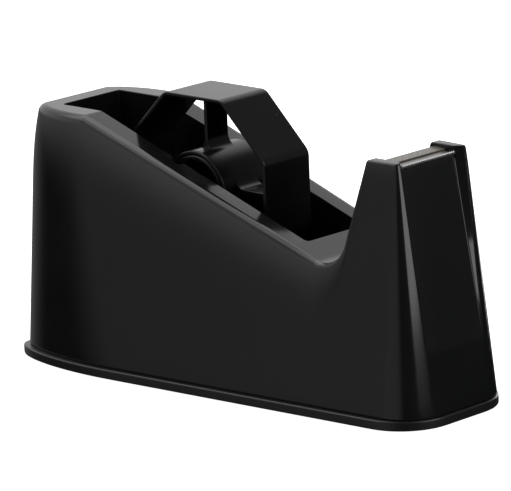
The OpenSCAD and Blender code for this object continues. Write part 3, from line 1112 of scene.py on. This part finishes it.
for node, material in (
    ("non_slip_pad", rubber()),
    ("base_screws", SCREW_STEEL),
    ("floor_ballast", cast_ballast()),
    ("nose_ballast", cast_ballast()),
):
    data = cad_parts[node].data
    data.materials.clear()
    data.materials.append(material)

# ----------------------------------------------------------------------------------------------------- studio

SKY_LEFT, SKY_RIGHT = 0.9, 0.11  # strength above the horizon
LOW_REAR, LOW_FRONT = 0.22, 0.35  # strength of the faint glows at and below it


def studio_world():
    """White above the left and the back, dark to the right, the front and below the horizon."""
    world = bpy.data.worlds.new("studio")
    world.use_nodes = True
    bpy.context.scene.world = world
    tree = world.node_tree
    at = tree.nodes.new("ShaderNodeTexCoord").outputs["Generated"]

    def ramp(value, low, high, to_low, to_high):
        node = tree.nodes.new("ShaderNodeMapRange")
        node.interpolation_type = "SMOOTHSTEP"
        tree.links.new(value, node.inputs["Value"])
        for name, number in (("From Min", low), ("From Max", high), ("To Min", to_low), ("To Max", to_high)):
            node.inputs[name].default_value = number
        return node.outputs[0]

    def towards(azimuth):
        node = tree.nodes.new("ShaderNodeVectorMath")
        node.operation = "DOT_PRODUCT"
        tree.links.new(at, node.inputs[0])
        node.inputs[1].default_value = (cos(radians(azimuth)), sin(radians(azimuth)), 0)
        return node.outputs["Value"]

    def join_up(operation, a, b):
        node = tree.nodes.new("ShaderNodeMath")
        node.operation = operation
        tree.links.new(a, node.inputs[0])
        tree.links.new(b, node.inputs[1])
        return node.outputs[0]

    split = tree.nodes.new("ShaderNodeSeparateXYZ")
    tree.links.new(at, split.inputs[0])
    above = ramp(split.outputs[2], -0.16, 0.14, 0, 1)
    sky = join_up("MULTIPLY", above, ramp(towards(170), -0.05, 0.42, SKY_RIGHT, SKY_LEFT))
    low = ramp(towards(158), 0.72, 0.98, 0.0, LOW_REAR)
    front = ramp(towards(-100), 0.72, 0.97, 0.0, LOW_FRONT)
    total = join_up("MAXIMUM", join_up("MAXIMUM", sky, low), front)
    back = tree.nodes["Background"]
    tree.links.new(total, back.inputs["Strength"])
    back.inputs["Color"].default_value = (1.0, 1.0, 1.0, 1.0)


def card(name, azimuth, elevation, distance, width, height, strength):
    """Soft light panel that faces the object; azimuth is from +X towards +Y, in degrees."""
    data = bpy.data.lights.new(name, "AREA")
    data.shape = "RECTANGLE"
    data.size, data.size_y = width, height
    data.energy = strength * width * height * pi
    lamp = bpy.data.objects.new(name, data)
    bpy.context.scene.collection.objects.link(lamp)
    a, e = radians(azimuth), radians(elevation)
    out = Vector((cos(a) * cos(e), sin(a) * cos(e), sin(e)))
    lamp.location = Vector((0, 0, 0.05)) + out * distance
    lamp.rotation_euler = out.to_track_quat("Z", "Y").to_euler()


def floor():
    """Plain white table that lights and mirrors nothing, so the black sides stay dark."""
    bm = bmesh.new()
    bmesh.ops.create_grid(bm, x_segments=4, y_segments=4, size=6.0)
    mesh = bpy.data.meshes.new("table")
    bm.to_mesh(mesh)
    bm.free()
    obj = bpy.data.objects.new("table", mesh)
    bpy.context.scene.collection.objects.link(obj)
    n = Nodes("table_white")
    n.set(Base_Color=n.mix(n.noise(3), grey(0.9), grey(0.92)), Roughness=0.9, Emission_Color=(1, 1, 1, 1))
    n.set(Emission_Strength=1.0)
    mesh.materials.append(n.material)
    obj.visible_glossy = False
    obj.visible_diffuse = False
    obj.visible_shadow = False


studio_world()
card("corner_strip", azimuth=5, elevation=15.5, distance=0.6, width=0.42, height=0.44, strength=2.9)
card("far_strip", azimuth=105, elevation=4, distance=1.0, width=0.5, height=0.6, strength=2.0)
card("overhead", azimuth=150, elevation=62, distance=1.1, width=0.7, height=0.7, strength=1.3)
card("overhead_left", azimuth=-150, elevation=58, distance=1.1, width=0.8, height=0.8, strength=1.3)
floor()
bpy.context.scene.view_settings.view_transform = "Standard"
